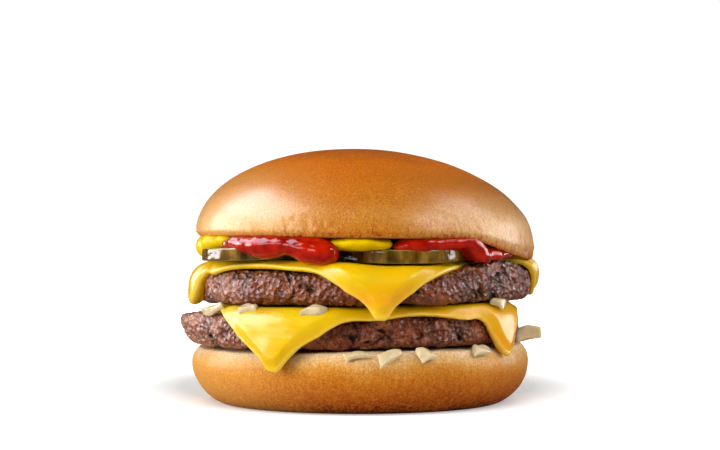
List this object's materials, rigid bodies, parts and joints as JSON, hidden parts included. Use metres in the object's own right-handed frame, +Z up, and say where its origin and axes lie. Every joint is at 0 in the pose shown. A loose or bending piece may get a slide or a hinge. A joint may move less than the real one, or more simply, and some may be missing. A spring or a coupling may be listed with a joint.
{
  "type": "double cheeseburger",
  "caption": "Soft round bun stacked with grilled beef patties, melted cheese slices, pickles, ketchup, mustard and chopped onion.",
  "frame": {"origin": "centre of the bottom bun's flat underside", "axes": "+Z up through the stack, front towards -Y, the side with the hanging bun rim towards +X"},
  "size_m": [0.1014, 0.1011, 0.0718],
  "materials": {
    "bun_crust": "soft baked crust, golden brown, slightly glossy on the dome",
    "beef": "coarse grilled ground beef, moist",
    "cheese": "smooth melted processed cheese, glossy",
    "pickle": "wet pickled cucumber, olive green skin",
    "ketchup": "thick wet tomato sauce",
    "mustard": "thick wet yellow mustard",
    "onion": "translucent chopped raw onion"
  },
  "bodies": {
    "root": {"bun_bottom": "bun_crust", "patty_lower": "beef", "cheese_lower": "cheese", "patty_upper": "beef", "cheese_upper": "cheese", "bun_top": "bun_crust", "pickle_right": "pickle", "pickle_left": "pickle", "pickle_back": "pickle", "mustard_left": "mustard", "mustard_front": "mustard", "mustard_right": "mustard", "mustard_back": "mustard", "ketchup": "ketchup", "onion_01": "onion", "onion_02": "onion", "onion_03": "onion", "onion_04": "onion", "onion_05": "onion", "onion_06": "onion", "onion_07": "onion", "onion_08": "onion", "onion_09": "onion", "onion_10": "onion", "onion_11": "onion", "onion_12": "onion", "onion_13": "onion", "onion_14": "onion", "onion_15": "onion", "onion_16": "onion", "onion_17": "onion"}
  },
  "joints": []
}
